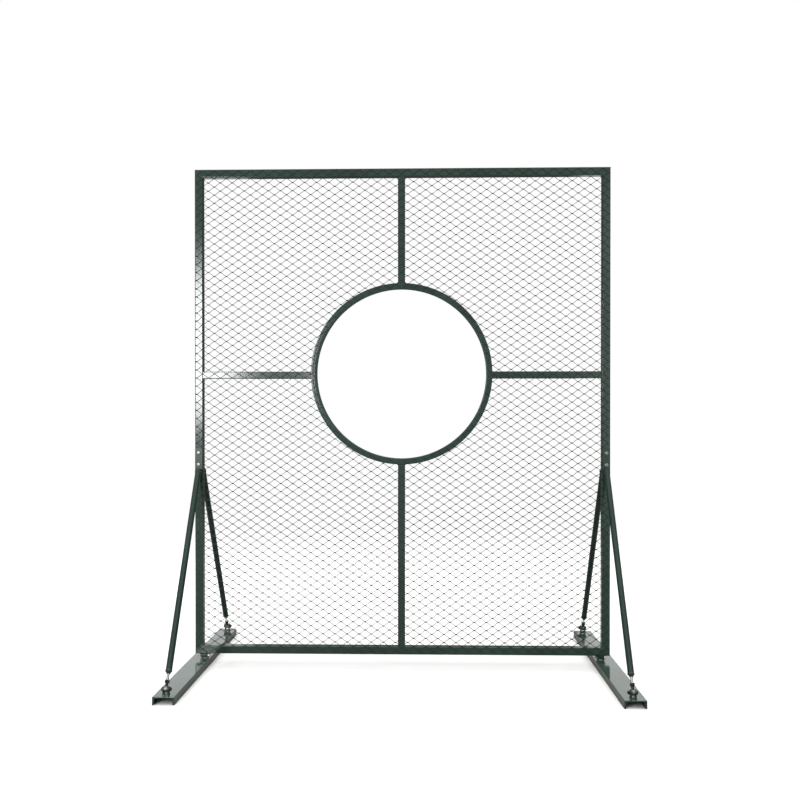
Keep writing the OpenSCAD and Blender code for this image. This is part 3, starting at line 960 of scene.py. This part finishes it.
def fasten(name, single, places, finish, slot, body, node):
    """One node of like fasteners: the same mesh at each place."""
    bm = bmesh.new()
    for place in places:
        merge_copy(bm, single, place)
    single.free()
    place_piece(name, bm, finish, slot, body, [node], smooth=40.0)


def bolt_up(steel, kind, name, look, lay, turns, head, thread):
    """The bolts and nuts of one kind, each laid along its own solid.

    Turns holds, for the bolts and for the nuts, the first one's turn and the step to the next.
    The head's height is in bolt diameters.
    """
    head *= steel.bolt_size
    axis = 0 if lay is pointing_in else 1
    for part, under, (first, step) in (("bolts", head, turns[0]), ("nuts", 0.0, turns[1])):
        boxes = solids_of(f"{kind}_{part}")
        length = boxes[0][1][axis] - boxes[0][0][axis]
        single = nut(steel, length) if part == "nuts" else bolt(steel, head, length - head, thread)
        places = [lay(box, under, first + step * number) for number, box in enumerate(boxes)]
        fasten(f"{name}_{part}", single, places, *look, f"{kind}_{part}")


def solids_of(node):
    """The box of each loose solid of a CAD node, as its two corners. Each solid's points grow from one."""
    bm = bmesh.new()
    bm.from_mesh(frame["nodes"][node].data)
    join_points(bm, SOLID_MERGE)
    left = dict.fromkeys(bm.verts)
    boxes = []
    while left:
        part = [left.popitem()[0]]
        for vert in part:
            for edge in vert.link_edges:
                other = edge.other_vert(vert)
                if other in left:
                    del left[other]
                    part.append(other)
        low = Vector([min(vert.co[k] for vert in part) for k in range(3)])
        high = Vector([max(vert.co[k] for vert in part) for k in range(3)])
        boxes.append((low, high))
    bm.free()
    return sorted(boxes, key=lambda box: tuple(box[0]))


def facing(centre, direction, spin):
    """A matrix that puts Z along a direction at a place."""
    turn = Vector(direction).to_track_quat("Z", "Y").to_matrix().to_4x4()
    return Matrix.Translation(centre) @ turn @ Matrix.Rotation(spin, 4, "Z")


def pointing_in(box, head, spin):
    """Puts Z inwards along a solid that lies across the target, from under its head."""
    low, high = box
    outwards = 1 if low.x > 0 else -1
    start = (high if outwards > 0 else low).x - outwards * head
    middle = (low + high) / 2
    return facing((start, middle.y, middle.z), (-outwards, 0, 0), spin)


def pointing_back(box, head, spin):
    """Puts Z backwards along a solid that runs from front to back, from under its head."""
    low, high = box
    middle = (low + high) / 2
    return facing((middle.x, low.y + head, middle.z), (0, 1, 0), spin)


class MakeFasteners(bpy.types.Operator):
    """Make the bolts, nuts and pins with turned corners and threads"""

    bl_idname = "target.make_fasteners"
    bl_label = "Bolts, nuts and pins"

    def execute(self, context):
        steel = context.scene.target_steel
        for kind, finish in (("lug", "black_oxide"), ("tilt", "zinc_plate")):
            turns = ((0.3, 0.0), (0.9, 0.0))
            look = (finish, finish, "feet")
            bolt_up(steel, kind, f"{kind}_pivot", look, pointing_in, turns, head=0.62, thread=0.016)
        turns = ((0.0, 0.4), (0.0, 0.7))
        look = ("worn_zinc", "zinc_plate", "panel")
        bolt_up(steel, "bracket", "bracket_through", look, pointing_back, turns, head=0.64, thread=0.014)
        boxes = solids_of("brace_pins")
        length = boxes[0][1].x - boxes[0][0].x
        radius, chamfer = steel.bolt_size / 2, 0.0008
        single = turned([
            (0, 0), (radius - chamfer, 0), (radius, chamfer), (radius, length - chamfer),
            (radius - chamfer, length), (0, length),
        ], 32)
        places = [pointing_in(box, 0.0, 0.0) for box in boxes]
        look = ("dark_steel", "dark_steel", "panel")
        fasten("bracket_pins", single, places, *look, "brace_pins")
        return {"FINISHED"}


# ---- Adjusters and braces ----


def brace_frame(corner):
    """A matrix that puts the origin on a brace's lower pivot and Z along the brace."""
    pivot = Vector(JOINTS[f"{corner}_swing"]["pos_m"])
    along = Vector(JOINTS[f"{corner}_length"]["axis"]).normalized()
    across = Vector((1, 0, 0))
    third = along.cross(across)
    turn = Matrix((across, third, along)).transposed().to_4x4()
    return Matrix.Translation(pivot) @ turn


def local_heights(corner, node):
    """How far a node reaches along its brace, from the lower pivot."""
    back = brace_frame(corner).inverted()
    heights = [(back @ vert.co).z for vert in frame["nodes"][node].data.vertices]
    return min(heights), max(heights)


def place_along(corner, name, bm, finish, slot, body, nodes, smooth=40.0):
    """Places a piece that was made on a brace's own axis."""
    bm.transform(brace_frame(corner))
    place_piece(f"{corner}_{name}", bm, finish, slot, body, nodes, smooth)


def screw_eye(bore):
    """The screw's eye: a turned ring that lies across its axis."""
    half, rim = EYE_HALF_WIDTH, EYE_RADIUS - EYE_CHAMFER
    bm = turned([
        (bore, -half), (rim, -half), (EYE_RADIUS, EYE_CHAMFER - half),
        (EYE_RADIUS, half - EYE_CHAMFER), (rim, half), (bore, half),
    ])
    bm.transform(Matrix.Rotation(math.pi / 2, 4, "Y"))
    return bm


def screw_neck(high):
    """The neck above the eye: it narrows to the screw's size."""
    shoulder, foot = 0.0069, 0.0102
    return turned([
        (0, foot), (shoulder, foot), (shoulder, 0.0125), (0.0063, 0.0150), (SCREW_RADIUS, 0.0185),
        (SCREW_RADIUS, high), (0, high),
    ], 32)


def screw_thread(pitch, low, high):
    """The threaded rod above the neck, with a turned end."""
    core = SCREW_RADIUS - pitch * 0.52
    bm = turned([(0, low), (core, low), (core, high - 0.001), (core * 0.85, high), (0, high)], 32)
    cut_thread(bm, SCREW_RADIUS, pitch, low + pitch * 0.5, high - 0.0025, 24)
    return bm


def turned_bush(low, high):
    """The bush that the screw runs in: a taper outside the brace and a sleeve inside it."""
    bore, sleeve, shoulder = BUSH_BORE, BRACE_INNER - 0.0001, low + 0.0141
    return turned([
        (bore, low + 0.0006), (0.0067, low), (0.0083, low), (0.009, low + 0.0008),
        (BRACE_OUTER, low + 0.0135), (0.0136, shoulder), (sleeve, shoulder), (sleeve, high),
        (bore, high),
    ])


class MakeAdjusters(bpy.types.Operator):
    """Make the eye screws, their lock nuts and the bushes that they run in"""

    bl_idname = "target.make_adjusters"
    bl_label = "Adjusters"

    def execute(self, context):
        steel = context.scene.target_steel
        running_gap = 0.00005
        for corner in CORNERS:
            body = f"{corner}_adjuster"
            screw, lock_nut = f"{corner}_screw", f"{corner}_lock_nut"
            top = local_heights(corner, screw)[1]
            low, high = local_heights(corner, lock_nut)
            bm = screw_eye(steel.bolt_size / 2 + running_gap)
            place_along(corner, "screw_eye", bm, "dull_zinc", "zinc_plate", body, [screw])
            bm = screw_neck(low)
            place_along(corner, "screw_neck", bm, "black_oxide", "black_oxide", body, [screw])
            bm = screw_thread(steel.screw_pitch, low, top)
            place_along(corner, "screw_thread", bm, "zinc_plate", "zinc_plate", body, [screw])
            bm = hexagon(LOCK_NUT_FLATS, low, high, True, True, LOCK_NUT_BORE)
            place_along(
                corner, "locking_nut", bm, "black_oxide", "black_oxide", body, [lock_nut], smooth=35.0
            )
            bush, body = f"{corner}_bush", f"{corner}_strut"
            bm = turned_bush(*local_heights(corner, bush))
            place_along(corner, "turned_bush", bm, "dark_steel", "dark_steel", body, [bush], smooth=25.0)
        return {"FINISHED"}


def brace_tube(low, high, towards_frame):
    """A round tube along Z, drilled for its pin and slotted on one side for a bracket's tongue."""
    inner, outer = BRACE_INNER, BRACE_OUTER
    pin = high - PIN_DROP
    tube = turned([
        (inner, low), (outer - 0.0004, low), (outer, low + 0.0004), (outer, high - 0.0008),
        (outer - 0.0008, high), (inner + 0.0003, high), (inner, high - 0.0003),
    ])
    across = Matrix.Translation((0, 0, pin)) @ Matrix.Rotation(math.pi / 2, 4, "Y")
    tube = carve(tube, cylinder(PIN_HOLE, -0.03, 0.03, 32, across), "DIFFERENCE")
    slot = bmesh.new()
    bottom, top, deep = pin - SLOT_DROP, high + 0.01, 0.03
    place = Matrix.Translation((0, towards_frame * 0.015, (bottom + top) / 2))
    size = Matrix.Diagonal((SLOT_WIDTH, deep, top - bottom, 1.0))
    bmesh.ops.create_cube(slot, size=1.0, matrix=place @ size)
    return carve(tube, slot, "DIFFERENCE")


class MakeBraces(bpy.types.Operator):
    """Make the round braces, drilled for their pins and welded round their bushes"""

    bl_idname = "target.make_braces"
    bl_label = "Braces"

    def execute(self, context):
        for corner in CORNERS:
            brace, body = f"{corner}_brace", f"{corner}_strut"
            low, high = local_heights(corner, brace)
            bm = brace_tube(low, high, 1 if corner.startswith("front") else -1)
            # The braces wear the darker copy of the frame's green, which is painted shade.
            place_along(corner, "brace_tube", bm, "shaded_brace_paint", "green_paint", body, [brace], smooth=35.0)
            bm = turned([
                (0.0130, low - 0.0050), (0.0148, low - 0.0044), (0.0154, low - 0.0026),
                (0.0154, low - 0.0004), (0.0148, low + 0.0016), (0.0135, low + 0.0024),
            ])
            place_along(corner, "bush_weld", bm, "weld_paint", "green_paint", body, (), smooth=60.0)
        return {"FINISHED"}


# ---- Studio ----

# Name, place, the point it looks at, size and power of each soft light.
LIGHTS = (
    ("key_panel", (-2.14, -4.9, 2.0), (-2.14, 0.0, 2.0), (0.66, 1.5), 105.0),
    ("ring_panel", (-1.0, -4.9, 1.78), (-1.0, 0.0, 1.78), (0.14, 0.8), 5.0),
    ("fill_panel", (1.96, -4.9, 2.0), (1.96, 0.0, 2.0), (0.7, 3.2), 5.5),
    ("left_rim_panel", (-2.35, 5.0, 1.4), (-1.0, 0.0, 0.0), (1.3, 1.2), 5.6),
    ("right_rim_panel", (2.35, 5.0, 1.4), (1.0, 0.0, 0.0), (1.3, 1.2), 5.6),
)


class SetStudio(bpy.types.Operator):
    """Set the pale floor, the soft lights and the camera"""

    bl_idname = "target.set_studio"
    bl_label = "Studio"

    def execute(self, context):
        studio = context.scene.target_studio
        lay_floor(tuple(studio.floor), tuple(studio.bounce))
        set_sky(studio)
        for light in LIGHTS:
            hang_light(*light)
        set_camera()
        context.scene.view_settings.view_transform = "Standard"
        return {"FINISHED"}


def lay_floor(colour, bounce):
    """A pale floor, faintly mottled, that fades into the white round it.

    Reflections and other indirect light see it in the darker bounce colour.
    """
    half_size, fade_start, fade_end = 7.0, 2.4, 6.5
    bm = bmesh.new()
    bmesh.ops.create_grid(bm, x_segments=1, y_segments=1, size=half_size)
    mesh = mesh_of("studio_floor", bm)
    finish = Finish("studio_floor", {"Specular IOR Level": 0.1})
    cloud = finish.noise(1.2, 4.0, 0.6)
    length = {"operation": "LENGTH"}
    away = finish.node("ShaderNodeVectorMath", length, {0: finish.place}, "Value")
    pale = finish.blend(cloud.step(0.3, 0.7), shade(colour, 0.985), shade(colour, 1.01))
    finish.feed("Base Color", finish.blend(finish.camera_ray(), bounce, pale))
    finish.feed("Roughness", cloud * 0.1 + 0.75)
    finish.feed("Alpha", 1.0 - away.step(fade_start, fade_end))
    mesh.materials.append(finish.material)
    floor = add_object("studio_floor", mesh)


def set_sky(studio):
    """Soft light from overhead and from the front. The camera itself sees plain white."""
    world = bpy.data.worlds.new("studio")
    world.use_nodes = True
    sky = Graph(world.node_tree)
    _, depth, height = sky.parts(sky.node("ShaderNodeTexCoord", {}, {}, "Generated"))
    seen = sky.camera_ray()
    ceiling = height.step(0.36, 0.8) * studio.ceiling
    front = (0.0 - depth).step(0.0, 0.8) * studio.front
    strength = seen + (1.0 - seen) * (ceiling + front + studio.back)
    backdrop = world.node_tree.nodes["Background"]
    backdrop.inputs["Color"].default_value = (1.0, 1.0, 1.0, 1.0)
    world.node_tree.links.new(strength.socket, backdrop.inputs["Strength"])
    bpy.context.scene.world = world


def hang_light(name, place, aim, size, power):
    """A soft rectangular light that looks at a point."""
    lamp = bpy.data.lights.new(name, "AREA")
    lamp.shape = "RECTANGLE"
    lamp.size, lamp.size_y = size
    lamp.energy = power
    thing = add_object(name, lamp)
    thing.visible_camera = False
    thing.location = place
    thing.rotation_euler = (Vector(aim) - Vector(place)).to_track_quat("-Z", "Y").to_euler()


def set_camera():
    """A camera at half the target's height, a little right of its middle, that looks nearly level."""
    down, left = 0.0069, 0.0254
    lens = bpy.data.cameras.new("camera")
    lens.lens = 41.27
    lens.sensor_width = 36.0
    lens.shift_y = 0.0375
    camera = add_object("camera", lens)
    camera.location = (0.10765, -4.5438, 1.2057)
    camera.rotation_euler = (math.pi / 2 - down, 0.0, left)
    bpy.context.scene.camera = camera


# ---- Add-on ----


OPERATORS = (
    MakeNet, MakeFrame, MakeWelds, MakeFeet, MakeFittings, MakeFasteners, MakeAdjusters, MakeBraces,
    SetStudio,
)
GROUPS = {
    "target_net": NetSettings, "target_finish": FinishSettings, "target_studio": StudioSettings,
    "target_steel": SteelSettings,
}


class TargetPanel(bpy.types.Panel):
    """Lists the steps that make the target, and their settings"""

    bl_idname = "VIEW3D_PT_chipping_target"
    bl_label = "Chipping Target"
    bl_space_type = "VIEW_3D"
    bl_region_type = "UI"
    bl_category = "Chipping Target"

    def draw(self, context):
        for group in GROUPS:
            settings = getattr(context.scene, group)
            box = self.layout.box()
            for name in settings.__annotations__:
                box.prop(settings, name)
        for operator in OPERATORS:
            self.layout.operator(operator.bl_idname)


def register():
    for group in GROUPS.values():
        bpy.utils.register_class(group)
    for operator in OPERATORS:
        bpy.utils.register_class(operator)
    bpy.utils.register_class(TargetPanel)
    for name, group in GROUPS.items():
        setattr(bpy.types.Scene, name, bpy.props.PointerProperty(type=group))


def unregister():
    for name in GROUPS:
        delattr(bpy.types.Scene, name)
    bpy.utils.unregister_class(TargetPanel)
    for operator in reversed(OPERATORS):
        bpy.utils.unregister_class(operator)
    for group in reversed(GROUPS.values()):
        bpy.utils.unregister_class(group)


def main():
    register()
    FINISHES.update(make_finishes())
    bpy.ops.target.make_net()
    bpy.ops.target.make_frame()
    bpy.ops.target.make_welds()
    bpy.ops.target.make_feet()
    bpy.ops.target.make_fittings()
    bpy.ops.target.make_fasteners()
    bpy.ops.target.make_adjusters()
    bpy.ops.target.make_braces()
    bpy.ops.target.set_studio()


if __name__ == "__main__":
    main()
